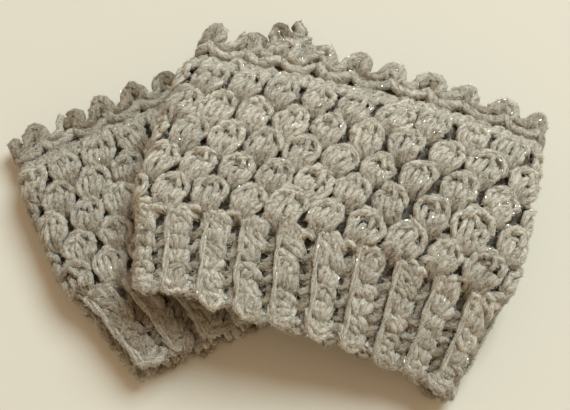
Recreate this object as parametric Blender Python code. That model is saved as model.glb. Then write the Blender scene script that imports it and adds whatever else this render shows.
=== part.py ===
"""A pair of crocheted boot cuffs lying flat, the front one across the back one.

Each cuff is one flattened tube in three pieces, from the hem up: a ribbed band,
a body of cluster stitches and an edging with picots. Both are worked on a grid
of 20 stitches around. The walls are lofts through rings: the rings' outer points
carry the ribs, clusters and picots, and their inner points and the underside
are plain.
"""

from dataclasses import dataclass

import bmesh
import bpy
import numpy as np

MM = 0.001

# The stitch grid that both cuffs share
STITCHES = 20
STITCH_WIDTH = 15.0 * MM
ROUND = STITCHES * STITCH_WIDTH
HALF_ROUND = ROUND / 2
CLUSTER_ROWS = 5
CLUSTER_HEIGHT = 12.0 * MM
RIB_ROWS = 6
BAND_HEIGHT = 36.0 * MM
BODY_HEIGHT = CLUSTER_ROWS * CLUSTER_HEIGHT
EDGING_HEIGHT = 23.0 * MM
EDGING_START = BAND_HEIGHT + BODY_HEIGHT
CUFF_HEIGHT = EDGING_START + EDGING_HEIGHT
SEAM_GAP = 0.3 * MM
LAY_HEIGHT = 115.0 * MM

# The flattened tube, measured across its two layers
FLAT_HALF = 66.5 * MM
FOLD_RADIUS = (ROUND - 4 * FLAT_HALF) / (2 * np.pi)
BODY_THICKNESS = 19.6 * MM
BAND_THICKNESS = 17.6 * MM
EDGING_THICKNESS = 14.2 * MM
BAND_STEP = 8.0 * MM
EDGING_STEP = 8.0 * MM
SLIT_MIDDLE = 0.7 * MM
SLIT_FOLD = 1.8 * MM
HEM_WIDTH_SHARE = 0.85
WIDENING_HEIGHT = 47.0 * MM

# The raised stitches
CLUSTER_DEPTH = 3.6 * MM
CLUSTER_HALF_WIDTH = 0.52
CLUSTER_HALF_HEIGHT = 0.75
CLUSTER_LIFT = 0.05
RIB_DEPTH = 2.4 * MM
RIB_BUMP_DEPTH = 0.9 * MM
HEM_SCALLOP = 1.8 * MM
RIB_PHASE_AT_HEM = -0.10
RIB_PHASE_AT_TOP = -0.18
EDGING_GROOVE_DEPTH = 1.6 * MM
EDGING_GROOVE_SHARE = 0.435
PICOT_HEIGHT = 8.5 * MM
PICOT_ROUNDING = 1.8 * MM
PICOT_PHASE = 0.19

# How many points and rings make each wall
COLUMNS_IN_STITCH = (0.0, 0.25, 0.5, 0.75)
PICOT_COLUMNS = (-0.33, -0.20, 0.0, 0.20, 0.33, 0.5)
RINGS_IN_CLUSTER = 3
RINGS_IN_RIB_ROW = 2
INNER_BODY_RINGS = 5
INNER_BAND_RINGS = 3

# The front cuff's slope from the back cuff down to the table
REST_GAP = 0.3 * MM
SLOPE_START = 13.0 * MM
SLOPE_AT_HEM = 80.0 * MM
SLOPE_AT_TOP = 140.0 * MM
SLOPE_SINK = 2.0 * MM
SLOPE_STEPS = 12
SUPPORT_HALF_WIDTH = 76.0 * MM
SUPPORT_CORNER = 8.0 * MM
TILT_PROBE = 0.5 * MM
UNBENT_ACROSS = -20.0 * MM
UNBENT_ALONG = 10.0 * MM
HALF_SPAN = 75.0 * MM
PULL_SIDES = (-0.9, -0.75, -0.6, -0.45, -0.25, 0.0, 0.25, 0.42, 0.6, 0.75, 0.9)

# The middle of the pair's box, so that the origin is under its centre
PAIR_CENTRE = (71.1 * MM, 74.0 * MM)

YARN_COLOUR = (0.35, 0.33, 0.29, 1.0)
YARN_ROUGHNESS = 0.9


@dataclass(frozen=True)
class Cuff:
    """One cuff: where it lies, how its stitches are turned round the tube, and its pull out of square."""

    name: str
    centre: tuple
    turn: float
    stitch_shift: float
    bow: float
    hem_bow: float
    hem_tilt: float
    top_tilt: float
    lean: float
    lean_bow: float
    layer_slip: float
    hem_pulls: tuple
    hem_tucks: tuple
    corner_flare: float
    flare_start: float
    flare_height: float


BACK = Cuff(
    name="back_cuff",
    centre=(49.6 * MM, 75.3 * MM),
    turn=np.radians(27.1),
    stitch_shift=5.6 * MM,
    bow=-0.8 * MM,
    hem_bow=0.0,
    hem_tilt=-3.0 * MM,
    top_tilt=-1.0 * MM,
    lean=0.0,
    lean_bow=0.0,
    layer_slip=2.0 * MM,
    hem_pulls=(0.0,) * 11,
    hem_tucks=(0.0,) * 11,
    corner_flare=-5.0 * MM,
    flare_start=60.0 * MM,
    flare_height=50.0 * MM,
)
FRONT = Cuff(
    name="front_cuff",
    centre=(95.3 * MM, 64.8 * MM),
    turn=np.radians(-11.6),
    stitch_shift=-0.5 * MM,
    bow=-2.6 * MM,
    hem_bow=-1.2 * MM,
    hem_tilt=0.0,
    top_tilt=-5.0 * MM,
    lean=7.8 * MM,
    lean_bow=5.4 * MM,
    layer_slip=0.0,
    hem_pulls=(1.8, 2.5, 4.0, 1.5, 1.3, 1.8, 1.0, -0.5, -3.7, -9.0, -12.0),
    hem_tucks=(7.0, 7.0, 7.0, 7.0, 7.0, 7.0, 6.0, 3.0, 0.0, 0.0, 0.0),
    corner_flare=3.5 * MM,
    flare_start=94.0 * MM,
    flare_height=10.0 * MM,
)


def ease(x):
    """A smooth step from 0 to 1."""
    x = np.clip(x, 0.0, 1.0)
    return x * x * (3 - 2 * x)


def half_thickness(height):
    """Half the flattened cuff's thickness at a height above the hem."""
    into_body = ease((height - BAND_HEIGHT) / BAND_STEP + 0.5)
    into_edging = ease((height - EDGING_START) / EDGING_STEP + 0.25)
    across = BAND_THICKNESS + (BODY_THICKNESS - BAND_THICKNESS) * into_body
    return (across + (EDGING_THICKNESS - BODY_THICKNESS) * into_edging) / 2


def outline(around):
    """The flat oval's centre line and outward normal at a distance around it from the top's middle."""
    around = (around + HALF_ROUND) % ROUND - HALF_ROUND
    side = np.where(around < 0, -1.0, 1.0)
    past_flat = np.abs(around) - FLAT_HALF
    angle = np.clip(past_flat / FOLD_RADIUS, 0, np.pi)
    under = np.maximum(past_flat - np.pi * FOLD_RADIUS, 0)
    across = np.clip(np.abs(around), 0, FLAT_HALF) - under
    on_fold = (past_flat > 0) & (under == 0)
    normal_across = np.where(on_fold, np.sin(angle), 0.0)
    normal_up = np.where(past_flat <= 0, 1.0, np.where(on_fold, np.cos(angle), -1.0))
    return side * across, side * normal_across, normal_up


def support_distance(x, y):
    """Distance in plan from the back cuff's outline, less than 0 over the cuff."""
    cos, sin = np.cos(BACK.turn), np.sin(BACK.turn)
    dx, dy = x - BACK.centre[0], y - BACK.centre[1]
    beside = np.abs(cos * dx + sin * dy) - SUPPORT_HALF_WIDTH + SUPPORT_CORNER
    beyond = np.abs(cos * dy - sin * dx) - LAY_HEIGHT / 2 + SUPPORT_CORNER
    outside = np.hypot(np.maximum(beside, 0), np.maximum(beyond, 0))
    return outside + np.minimum(np.maximum(beside, beyond), 0) - SUPPORT_CORNER


def turned(cuff, across, along):
    """A point of the cuff's own plane, turned and moved to where the cuff lies."""
    cos, sin = np.cos(cuff.turn), np.sin(cuff.turn)
    return cuff.centre[0] + cos * across - sin * along, cuff.centre[1] + sin * across + cos * along


def rest_height(cuff, across, along):
    """Height of the front cuff's underside: on the back cuff, then sloping to the table."""
    x, y = turned(cuff, across, along)
    reach = SLOPE_AT_HEM + (SLOPE_AT_TOP - SLOPE_AT_HEM) * np.clip(along / LAY_HEIGHT + 0.5, 0, 1)
    down = ease((support_distance(x, y) + SLOPE_START) / reach)
    return np.maximum((BODY_THICKNESS + REST_GAP) * (1 - down) - SLOPE_SINK * down, 0)


def slope(cuff, across, along):
    """The underside's slopes across and along the cuff."""
    d = TILT_PROBE
    rise_across = rest_height(cuff, across + d, along) - rest_height(cuff, across - d, along)
    rise_along = rest_height(cuff, across, along + d) - rest_height(cuff, across, along - d)
    return rise_across / (2 * d), rise_along / (2 * d)


def drawn_in(cuff, across, along):
    """The plan position of a point of cloth once the slope has drawn it in, keeping its length."""
    shares = (np.arange(SLOPE_STEPS) + 0.5)[:, None] / SLOPE_STEPS
    steps = UNBENT_ACROSS + (across - UNBENT_ACROSS) * shares
    slopes, _ = slope(cuff, steps, along + 0 * steps)
    plan_across = UNBENT_ACROSS + (across - UNBENT_ACROSS) * np.sqrt(1 - slopes**2).mean(0)
    steps = UNBENT_ALONG + (along - UNBENT_ALONG) * shares
    _, slopes = slope(cuff, across + 0 * steps, steps)
    plan_along = UNBENT_ALONG + (along - UNBENT_ALONG) * np.sqrt(1 - slopes**2).mean(0)
    return plan_across, plan_along


def laid(cuff, across, above, height):
    """World points of the flattened cuff: across it, above its middle plane and up from its hem."""
    half = half_thickness(height)
    widened = np.clip(height / WIDENING_HEIGHT, 0, 1)
    across = across * (HEM_WIDTH_SHARE + (1 - HEM_WIDTH_SHARE) * widened)
    side = across / HALF_SPAN
    from_top = 1 - height / LAY_HEIGHT
    along = height - LAY_HEIGHT / 2 + (cuff.bow + cuff.hem_bow * from_top) * (side**2 - 0.4)
    along = along + cuff.hem_tilt * side * from_top + cuff.top_tilt * side * (1 - from_top)
    along = along + cuff.layer_slip * above / (2 * half)
    pull = np.interp(side, PULL_SIDES, cuff.hem_pulls)
    tuck = np.interp(side, PULL_SIDES, cuff.hem_tucks) * (0.5 - above / (2 * half))
    along = along + (pull + tuck) * MM * np.clip(1 - height / BAND_HEIGHT, 0, 1)
    flare = ease((side - 0.4) / 0.5) * ease((height - cuff.flare_start) / cuff.flare_height)
    across = across + cuff.corner_flare * flare
    across = across + cuff.lean * (0.5 - from_top) - cuff.lean_bow * from_top * (1 - from_top)
    lift = half + above
    if cuff is BACK:
        x, y = turned(cuff, across, along)
        return np.stack([x - PAIR_CENTRE[0], y - PAIR_CENTRE[1], lift], -1)
    across_slope, along_slope = slope(cuff, across, along)
    length = np.sqrt(1 + across_slope**2 + along_slope**2)
    plan_across, plan_along = drawn_in(cuff, across, along)
    x, y = turned(
        cuff,
        plan_across - across_slope / length * lift,
        plan_along - along_slope / length * lift,
    )
    z = rest_height(cuff, across, along) + lift / length
    return np.stack([x - PAIR_CENTRE[0], y - PAIR_CENTRE[1], z], -1)


def from_nearest(stitch, phase):
    """Distance in stitches from the nearest stitch of a row that starts at a phase."""
    return (stitch - phase + 0.5) % 1.0 - 0.5


def cluster_drop(stitch, height):
    """How far the cluster stitches' surface lies below their crests."""
    crest = np.zeros_like(stitch + height)
    for row in range(CLUSTER_ROWS):
        beside = from_nearest(stitch, 0.5 * ((row + 1) % 2))
        above = (height - BAND_HEIGHT) / CLUSTER_HEIGHT - row - 0.5 - CLUSTER_LIFT
        left = 1 - (beside / CLUSTER_HALF_WIDTH) ** 2 - (above / CLUSTER_HALF_HEIGHT) ** 2
        crest = np.maximum(crest, np.sqrt(np.maximum(left, 0)))
    return CLUSTER_DEPTH * (1 - crest)


def from_rib(stitch, height):
    """Distance in stitches from the nearest rib, as the ribs slant a little across the band."""
    phase = RIB_PHASE_AT_HEM + (RIB_PHASE_AT_TOP - RIB_PHASE_AT_HEM) * height / BAND_HEIGHT
    return from_nearest(stitch, phase)


def rib_drop(stitch, height):
    """How far the ribs' surface lies below the crests of their stitches."""
    valley = np.sin(np.pi * from_rib(stitch, height)) ** 2
    crease = np.cos(np.pi * height / BAND_HEIGHT * RIB_ROWS) ** 2
    return RIB_DEPTH * valley + RIB_BUMP_DEPTH * crease * (1 - valley)


def picot_rise(stitch):
    """Height of the edging's top at a stitch, from 0 between picots to 1 on one."""
    return ease((0.45 - np.abs(from_nearest(stitch, PICOT_PHASE))) / 0.25)


def edging_top(stitch):
    """Height above the hem of the edging's uneven top edge."""
    return CUFF_HEIGHT - PICOT_HEIGHT * (1 - picot_rise(stitch))


def edging_drop(stitch, share):
    """How far the edging lies below its crests, at a share of its height."""
    groove = EDGING_GROOVE_DEPTH * np.exp(-(((share - EDGING_GROOVE_SHARE) / 0.12) ** 2))
    knob = PICOT_ROUNDING * ease((share - 0.7) / 0.3)
    between = EDGING_GROOVE_DEPTH * (1 - picot_rise(stitch)) * ease((share - 0.3) / 0.4)
    return groove + knob + between


def ring(cuff, stitch, height, drop):
    """A ring of outer points, raised on top and at the folds and plain on the underside."""
    around = (stitch - 4.5) * STITCH_WIDTH + cuff.stitch_shift
    across, normal_across, normal_up = outline(around)
    radius = half_thickness(height) - drop * ease((normal_up + 1) / 1.2)
    return laid(cuff, across + radius * normal_across, radius * normal_up, height)


def inner_ring(cuff, stitch, height):
    """A ring of plain inner points, round the narrow slit between the two layers."""
    around = (stitch - 4.5) * STITCH_WIDTH + cuff.stitch_shift
    across, normal_across, normal_up = outline(around)
    slit = SLIT_MIDDLE + (SLIT_FOLD - SLIT_MIDDLE) * ease(np.abs(across) / FLAT_HALF)
    return laid(cuff, across + slit * normal_across, slit * normal_up, height)


def band_rings(cuff):
    """The ribbed band's rings, up its outside from the hem and back down inside."""
    stitch = np.add.outer(np.arange(STITCHES), COLUMNS_IN_STITCH).ravel()
    hem = HEM_SCALLOP * np.sin(np.pi * from_rib(stitch, 0.0)) ** 2
    top = BAND_HEIGHT - SEAM_GAP / 2
    outer = []
    for share in np.linspace(0, 1, RIB_ROWS * RINGS_IN_RIB_ROW + 1):
        height = hem + (top - hem) * share
        outer.append(ring(cuff, stitch, height, rib_drop(stitch, height)))
    shares = np.linspace(1, 0, INNER_BAND_RINGS)
    inner = [inner_ring(cuff, stitch, hem + (top - hem) * share) for share in shares]
    return outer + inner


def body_rings(cuff):
    """The cluster body's rings, up its outside and back down inside."""
    stitch = np.add.outer(np.arange(STITCHES), COLUMNS_IN_STITCH).ravel()
    bottom = BAND_HEIGHT + SEAM_GAP / 2
    top = EDGING_START - SEAM_GAP / 2
    outer = []
    for height in np.linspace(bottom, top, CLUSTER_ROWS * RINGS_IN_CLUSTER + 1):
        outer.append(ring(cuff, stitch, height, cluster_drop(stitch, height)))
    inner = [inner_ring(cuff, stitch, height) for height in np.linspace(top, bottom, INNER_BODY_RINGS)]
    return outer + inner


def edging_rings(cuff):
    """The picot edging's rings, up its outside to the picots and back down inside."""
    stitch = np.add.outer(np.arange(STITCHES) + PICOT_PHASE, PICOT_COLUMNS).ravel()
    bottom = EDGING_START + SEAM_GAP / 2
    top = edging_top(stitch)
    outer = []
    for share in (0.0, 0.2, EDGING_GROOVE_SHARE, 0.65, 0.88, 1.0):
        height = bottom + (top - bottom) * share
        outer.append(ring(cuff, stitch, height, edging_drop(stitch, share)))
    inner = [inner_ring(cuff, stitch, bottom + (top - bottom) * share) for share in (1.0, 0.4, 0.0)]
    return outer + inner


def lofted(name, rings, material, collection):
    """A closed wall through rings of equal length, the last ring joined to the first."""
    shape = bmesh.new()
    rows = [[shape.verts.new(point) for point in points] for points in rings]
    for lower, upper in zip(rows, rows[1:] + rows[:1]):
        for i, corner in enumerate(lower):
            following = (i + 1) % len(lower)
            shape.faces.new((corner, upper[i], upper[following], lower[following]))
    bmesh.ops.recalc_face_normals(shape, faces=shape.faces)
    mesh = bpy.data.meshes.new(name)
    shape.to_mesh(mesh)
    shape.free()
    mesh.shade_smooth()
    mesh.materials.append(material)
    piece = bpy.data.objects.new(name, mesh)
    collection.objects.link(piece)
    return piece


def yarn(name):
    """A matt heathered wool material for one piece."""
    material = bpy.data.materials.new(name)
    material.use_nodes = True
    shader = material.node_tree.nodes["Principled BSDF"]
    shader.inputs["Base Color"].default_value = YARN_COLOUR
    shader.inputs["Roughness"].default_value = YARN_ROUGHNESS
    shader.inputs["Metallic"].default_value = 0.0
    return material


def main():
    """Clears the scene and builds both cuffs."""
    for thing in list(bpy.data.objects):
        bpy.data.objects.remove(thing)
    collection = bpy.data.collections.new("boot_cuff_pair")
    bpy.context.scene.collection.children.link(collection)
    sections = {"rib_band": band_rings, "cluster_body": body_rings, "picot_edging": edging_rings}
    for cuff in (BACK, FRONT):
        for section, rings in sections.items():
            name = f"{cuff.name}_{section}"
            lofted(name, rings(cuff), yarn(f"{section}_yarn"), collection)


main()
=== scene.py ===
"""A pair of crocheted boot cuffs lying flat on a pale floor, the front one across the back one.

Every stitch is made of strands of yarn. The strands are drawn on the cuffs' grid of stitches and
rows, and the grid is then laid over the same flattened and sloping forms as the CAD solids.
Lengths are in metres, apart from the control points of strands, which are in millimetres.
"""

import logging
import math
from dataclasses import dataclass, field, replace
from enum import Enum

import bpy
import numpy as np
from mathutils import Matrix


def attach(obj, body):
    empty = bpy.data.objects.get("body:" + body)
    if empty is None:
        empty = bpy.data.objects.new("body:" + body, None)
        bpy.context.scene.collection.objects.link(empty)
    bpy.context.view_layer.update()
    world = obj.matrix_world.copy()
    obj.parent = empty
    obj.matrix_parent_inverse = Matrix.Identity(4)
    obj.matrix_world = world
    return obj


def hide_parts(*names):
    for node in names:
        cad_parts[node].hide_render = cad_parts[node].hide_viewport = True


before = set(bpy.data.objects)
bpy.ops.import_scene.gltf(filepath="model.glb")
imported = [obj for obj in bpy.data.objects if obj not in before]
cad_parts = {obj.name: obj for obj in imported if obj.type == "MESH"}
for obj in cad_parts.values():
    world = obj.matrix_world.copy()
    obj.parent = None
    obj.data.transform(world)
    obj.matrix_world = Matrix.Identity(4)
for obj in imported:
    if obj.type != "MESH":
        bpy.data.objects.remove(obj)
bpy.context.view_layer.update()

LOG = logging.getLogger("boot_cuffs")
MM = 0.001
BODY = "root"
CURVE_PIECES = 2
TAPER_SHARE = 0.3
LEAST_DEPTH_SHARE = 1.25
Array = np.ndarray
Point = tuple[float, float, float]
Colour = tuple[float, float, float]


class Section(Enum):
    """The three pieces of a cuff; the values end the names of their CAD nodes."""

    RIB_BAND = "rib_band"
    CLUSTER_BODY = "cluster_body"
    PICOT_EDGING = "picot_edging"

    @property
    def slot(self) -> str:
        """The record's material slot of this piece."""
        return f"{self.value}_yarn"


def ease(x: Array) -> Array:
    """A smooth step from 0 to 1.

    Args:
        x: Where on the step, with 0 at its start and 1 at its end.
    Returns:
        The height of the step.
    """
    x = np.clip(x, 0.0, 1.0)
    return x * x * (3 - 2 * x)


def unit(vectors: Array) -> Array:
    """Vectors brought to length 1.

    Args:
        vectors: Vectors along the last axis.
    Returns:
        The same directions with length 1.
    """
    return vectors / np.maximum(np.linalg.norm(vectors, axis=-1, keepdims=True), 1e-12)


@dataclass(frozen=True)
class StitchGrid:
    """The grid of stitches and rows that both cuffs are worked on."""

    stitches: int = 20
    stitch_width: float = 15.0 * MM
    cluster_rows: int = 5
    cluster_height: float = 12.0 * MM
    rib_rows: int = 6
    band_height: float = 36.0 * MM
    edging_height: float = 23.0 * MM
    lay_height: float = 115.0 * MM
    seam_gap: float = 0.3 * MM
    rib_phase_at_hem: float = -0.10
    rib_phase_at_top: float = -0.18
    picot_phase: float = 0.10
    picot_height: float = 8.5 * MM

    @property
    def round(self) -> float:
        """Length of one row, all the way round."""
        return self.stitches * self.stitch_width

    @property
    def body_height(self) -> float:
        """Height of the cluster body."""
        return self.cluster_rows * self.cluster_height

    @property
    def edging_start(self) -> float:
        """Height of the edging's foot above the hem."""
        return self.band_height + self.body_height

    @property
    def height(self) -> float:
        """Height of the whole cuff."""
        return self.edging_start + self.edging_height

    def row_phase(self, row: int) -> float:
        """Where the clusters of a row stand between the ribs, as rows alternate by half a stitch."""
        return 0.5 * ((row + 1) % 2)

    def rib_phase(self, height: Array) -> Array:
        """How far the ribs stand beside the whole stitches, as they slant a little across the band."""
        share = np.clip(height / self.band_height, 0, 1)
        return self.rib_phase_at_hem + (self.rib_phase_at_top - self.rib_phase_at_hem) * share

    def picot_rise(self, stitch: Array) -> Array:
        """Height of the edging's top, from 0 between picots to 1 on one."""
        away = np.abs((stitch - self.picot_phase + 0.5) % 1.0 - 0.5)
        return ease((0.45 - away) / 0.25)


GRID = StitchGrid()


@dataclass(frozen=True)
class FlatTube:
    """The cross-section of a cuff: a tube pressed flat, with two round folds."""

    flat_half: float = 66.5 * MM
    body_thickness: float = 19.6 * MM
    band_thickness: float = 17.6 * MM
    edging_thickness: float = 14.2 * MM
    step: float = 8.0 * MM
    slit_middle: float = 0.7 * MM
    slit_fold: float = 1.8 * MM

    @property
    def fold_radius(self) -> float:
        """Radius of the centre line at the folds."""
        return (GRID.round - 4 * self.flat_half) / (2 * math.pi)

    def half_thickness(self, height: Array) -> Array:
        """Half the flattened cuff's thickness.

        Args:
            height: Heights above the hem.
        Returns:
            The distance from the middle plane to the stitches' crests.
        """
        into_body = ease((height - GRID.band_height) / self.step + 0.5)
        into_edging = ease((height - GRID.edging_start) / self.step + 0.25)
        across = self.band_thickness + (self.body_thickness - self.band_thickness) * into_body
        return (across + (self.edging_thickness - self.body_thickness) * into_edging) / 2

    def outline(self, around: Array) -> tuple[Array, Array, Array]:
        """The flat oval's centre line and its outward normal.

        Args:
            around: Distance around the tube from the top layer's middle.
        Returns:
            The distance across the cuff, and the normal's part across and upwards.
        """
        around = (around + GRID.round / 2) % GRID.round - GRID.round / 2
        side = np.where(around < 0, -1.0, 1.0)
        past_flat = np.abs(around) - self.flat_half
        angle = np.clip(past_flat / self.fold_radius, 0, np.pi)
        under = np.maximum(past_flat - np.pi * self.fold_radius, 0)
        across = np.clip(np.abs(around), 0, self.flat_half) - under
        on_fold = (past_flat > 0) & (under == 0)
        normal_across = np.where(on_fold, np.sin(angle), 0.0)
        normal_up = np.where(past_flat <= 0, 1.0, np.where(on_fold, np.cos(angle), -1.0))
        return side * across, side * normal_across, normal_up

    def slit(self, across: Array) -> Array:
        """Half the width of the slit between the two layers."""
        wider = ease(np.abs(across) / self.flat_half)
        return self.slit_middle + (self.slit_fold - self.slit_middle) * wider


TUBE = FlatTube()


@dataclass(frozen=True)
class CuffLay:
    """How one cuff lies: its place and turn, its pull out of square and what it rests on.

    Args:
        name: The start of the names of the cuff's nodes.
        centre: The cuff's middle, before the pair is centred.
        turn: Angle of the cuff in plan.
        stitch_shift: How far the stitches are turned round the tube.
        bow: How much the rows curve up at both sides, and hem_bow how much more they do at the hem.
        hem_tilt: How much higher the right side of the hem is, and top_tilt of the top.
        lean: How far the top stands to the right, and lean_bow how far the folds bulge to the left.
        layer_slip: How much higher the top layer lies than the lower one.
        hem_pulls: How far the hem is pushed up in mm, at each of the pull_sides.
        hem_tucks: How far its lower layer is pushed up besides.
        corner_flare: How far the top's right corner stands out, from flare_start over flare_height.
        below: The cuff that this one lies across, if any.
        pair_centre: The middle of the pair.
        yarn_tone: What is added to the tone of its yarn, less than 0 for a darker cuff: painted shade,
            where the cuff lies in the shade of the one across it.
        middle_stitch: The stitch in the middle of the top layer.
        hem_width_share: The hem's width as a share of the body's, up to widening_height.
        half_span: Half the cuff's width, which the pulls and tilts are shared over.
        rest_gap: The gap between this cuff and the one below.
        slope_start: How far inside the edge of the cuff below the slope starts.
        slope_at_hem: The slope's length at the hem, and slope_at_top at the top.
        slope_sink: How far below the floor the slope would end.
        support_half_width: Half the width of the cuff below, with support_corner as its corners' radius.
        unbent: The lines across and along the cuff that the slope doesn't move.
    """

    name: str
    centre: tuple[float, float]
    turn: float
    stitch_shift: float
    bow: float
    hem_bow: float = 0.0
    hem_tilt: float = 0.0
    top_tilt: float = 0.0
    lean: float = 0.0
    lean_bow: float = 0.0
    layer_slip: float = 0.0
    hem_pulls: tuple[float, ...] = (0.0,) * 11
    hem_tucks: tuple[float, ...] = (0.0,) * 11
    bow_level: float = 0.4
    corner_flare: float = 0.0
    flare_side: float = 0.4
    flare_width: float = 0.5
    flare_start: float = 60.0 * MM
    flare_height: float = 50.0 * MM
    below: "CuffLay | None" = None
    pair_centre: tuple[float, float] = (71.1 * MM, 74.0 * MM)
    yarn_tone: float = 0.0
    middle_stitch: float = 4.5
    hem_width_share: float = 0.85
    widening_height: float = 47.0 * MM
    half_span: float = 75.0 * MM
    rest_gap: float = 0.3 * MM
    slope_start: float = 13.0 * MM
    slope_at_hem: float = 80.0 * MM
    slope_at_top: float = 140.0 * MM
    slope_sink: float = 2.0 * MM
    slope_steps: int = 12
    support_half_width: float = 76.0 * MM
    support_corner: float = 8.0 * MM
    probe: float = 0.5 * MM
    unbent: tuple[float, float] = (-20.0 * MM, 10.0 * MM)
    pull_sides: tuple[float, ...] = (-0.9, -0.75, -0.6, -0.45, -0.25, 0.0, 0.25, 0.42, 0.6, 0.75, 0.9)

    def turned(self, across: Array, along: Array) -> tuple[Array, Array]:
        """Points of the cuff's own plane, turned and moved to where the cuff lies."""
        cos, sin = math.cos(self.turn), math.sin(self.turn)
        return self.centre[0] + cos * across - sin * along, self.centre[1] + sin * across + cos * along

    def distance_outside(self, x: Array, y: Array) -> Array:
        """Distance in plan from this cuff's outline, less than 0 over the cuff.

        Args:
            x: Plan positions.
            y: Plan positions.
        Returns:
            The distances.
        """
        cos, sin = math.cos(self.turn), math.sin(self.turn)
        dx, dy = x - self.centre[0], y - self.centre[1]
        beside = np.abs(cos * dx + sin * dy) - self.support_half_width + self.support_corner
        beyond = np.abs(cos * dy - sin * dx) - GRID.lay_height / 2 + self.support_corner
        outside = np.hypot(np.maximum(beside, 0), np.maximum(beyond, 0))
        return outside + np.minimum(np.maximum(beside, beyond), 0) - self.support_corner

    def rest_height(self, across: Array, along: Array) -> Array:
        """Height of the underside: on the cuff below, then sloping to the floor.

        Args:
            across: Positions across the cuff.
            along: Positions along the cuff.
        Returns:
            The heights above the floor.
        """
        if self.below is None:
            return np.zeros_like(across + along)
        x, y = self.turned(across, along)
        up_cuff = np.clip(along / GRID.lay_height + 0.5, 0, 1)
        reach = self.slope_at_hem + (self.slope_at_top - self.slope_at_hem) * up_cuff
        down = ease((self.below.distance_outside(x, y) + self.slope_start) / reach)
        return np.maximum((TUBE.body_thickness + self.rest_gap) * (1 - down) - self.slope_sink * down, 0)

    def slope(self, across: Array, along: Array) -> tuple[Array, Array]:
        """The underside's slopes across and along the cuff.

        Args:
            across: Positions across the cuff.
            along: Positions along the cuff.
        Returns:
            Both slopes.
        """
        d = self.probe
        rise_across = self.rest_height(across + d, along) - self.rest_height(across - d, along)
        rise_along = self.rest_height(across, along + d) - self.rest_height(across, along - d)
        return rise_across / (2 * d), rise_along / (2 * d)

    def drawn_in(self, across: Array, along: Array) -> tuple[Array, Array]:
        """The plan position of cloth once the slope has drawn it in, keeping its length.

        Args:
            across: Positions across the cloth.
            along: Positions along the cloth.
        Returns:
            The positions in plan.
        """
        shares = ((np.arange(self.slope_steps) + 0.5) / self.slope_steps).reshape(-1, *[1] * across.ndim)
        steps = self.unbent[0] + (across - self.unbent[0]) * shares
        slopes, _ = self.slope(steps, along + 0 * steps)
        plan_across = self.unbent[0] + (across - self.unbent[0]) * np.sqrt(1 - slopes**2).mean(0)
        steps = self.unbent[1] + (along - self.unbent[1]) * shares
        _, slopes = self.slope(across + 0 * steps, steps)
        plan_along = self.unbent[1] + (along - self.unbent[1]) * np.sqrt(1 - slopes**2).mean(0)
        return plan_across, plan_along

    def laid(self, across: Array, above: Array, height: Array) -> Array:
        """World points of the flattened cuff.

        Args:
            across: Positions across the cuff.
            above: Heights above the cuff's middle plane.
            height: Heights up from the hem.
        Returns:
            The points, along a new last axis.
        """
        half = TUBE.half_thickness(height)
        widened = np.clip(height / self.widening_height, 0, 1)
        across = across * (self.hem_width_share + (1 - self.hem_width_share) * widened)
        side = across / self.half_span
        from_top = 1 - height / GRID.lay_height
        bow = self.bow + self.hem_bow * from_top
        along = height - GRID.lay_height / 2 + bow * (side**2 - self.bow_level)
        along = along + self.hem_tilt * side * from_top + self.top_tilt * side * (1 - from_top)
        along = along + self.layer_slip * above / (2 * half)
        pull = np.interp(side, self.pull_sides, self.hem_pulls)
        tuck = np.interp(side, self.pull_sides, self.hem_tucks) * (0.5 - above / (2 * half))
        along = along + (pull + tuck) * MM * np.clip(1 - height / GRID.band_height, 0, 1)
        beside = ease((side - self.flare_side) / self.flare_width)
        flare = beside * ease((height - self.flare_start) / self.flare_height)
        across = across + self.corner_flare * flare
        across = across + self.lean * (0.5 - from_top) - self.lean_bow * from_top * (1 - from_top)
        lift = half + above
        plan_across, plan_along, z = across, along, lift
        if self.below is not None:
            across_slope, along_slope = self.slope(across, along)
            length = np.sqrt(1 + across_slope**2 + along_slope**2)
            plan_across, plan_along = self.drawn_in(across, along)
            plan_across = plan_across - across_slope / length * lift
            plan_along = plan_along - along_slope / length * lift
            z = self.rest_height(across, along) + lift / length
        x, y = self.turned(plan_across, plan_along)
        return np.stack([x - self.pair_centre[0], y - self.pair_centre[1], z], -1)

    def place(self, stitch: Array, height: Array, depth: Array | None = None) -> Array:
        """World points on the stitch grid.

        Args:
            stitch: Positions around the tube, in stitches.
            height: Heights up from the hem.
            depth: Depths below the stitches' crests, or None for the tube's inner face.
        Returns:
            The points, along a new last axis.
        """
        around = (stitch - self.middle_stitch) * GRID.stitch_width + self.stitch_shift
        across, normal_across, normal_up = TUBE.outline(around)
        out = TUBE.slit(across) if depth is None else TUBE.half_thickness(height) - depth
        return self.laid(across + out * normal_across, out * normal_up, height)

    def outwards(self, stitch: Array, height: Array, depth: Array) -> Array:
        """The direction out of the cloth on the stitch grid.

        Args:
            stitch: Positions around the tube, in stitches.
            height: Heights up from the hem.
            depth: Depths below the stitches' crests.
        Returns:
            The directions, along a new last axis.
        """
        return unit(self.place(stitch, height, depth) - self.place(stitch, height, depth + MM))


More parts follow.
